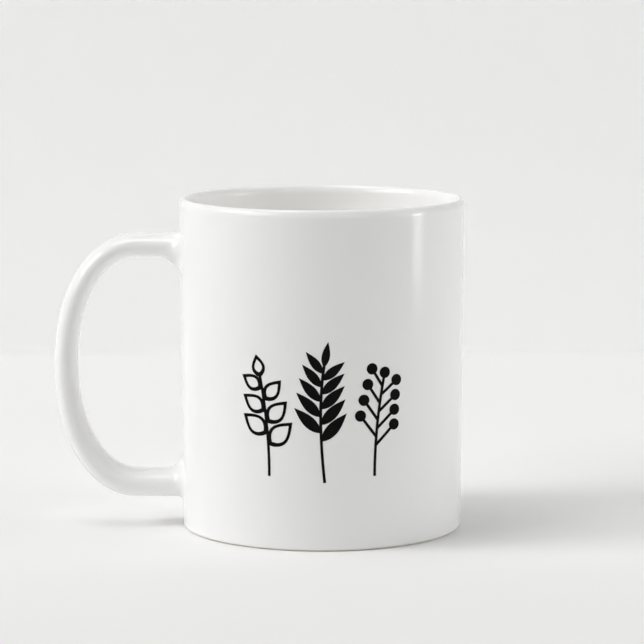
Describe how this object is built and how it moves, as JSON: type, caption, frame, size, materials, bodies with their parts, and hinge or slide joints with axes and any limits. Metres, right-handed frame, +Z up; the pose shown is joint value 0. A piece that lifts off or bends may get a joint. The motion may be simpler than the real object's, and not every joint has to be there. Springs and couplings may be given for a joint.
{
  "type": "coffee mug",
  "caption": "Straight-sided white ceramic mug with a rounded lip, a loop handle, a bare standing ring and a black leaf print on its front.",
  "frame": {"origin": "middle of the standing ring, on the table that the mug stands on", "axes": "+Z up along the cup's axis, -X towards the handle, -Y out of the printed front"},
  "size_m": [0.1184, 0.082, 0.0953],
  "materials": {
    "bare_clay": "matte",
    "slip_clay": "matte",
    "white_glaze": "gloss",
    "black_print": "satin"
  },
  "bodies": {
    "root": {"body": "bare_clay", "handle": "bare_clay", "upper_handle_joint": "slip_clay", "lower_handle_joint": "slip_clay", "outer_glaze": "white_glaze", "inner_glaze": "white_glaze", "base_glaze": "white_glaze", "handle_glaze": "white_glaze", "centre_sprig_print": "black_print", "left_sprig_print": "black_print", "right_sprig_print": "black_print"}
  },
  "joints": []
}
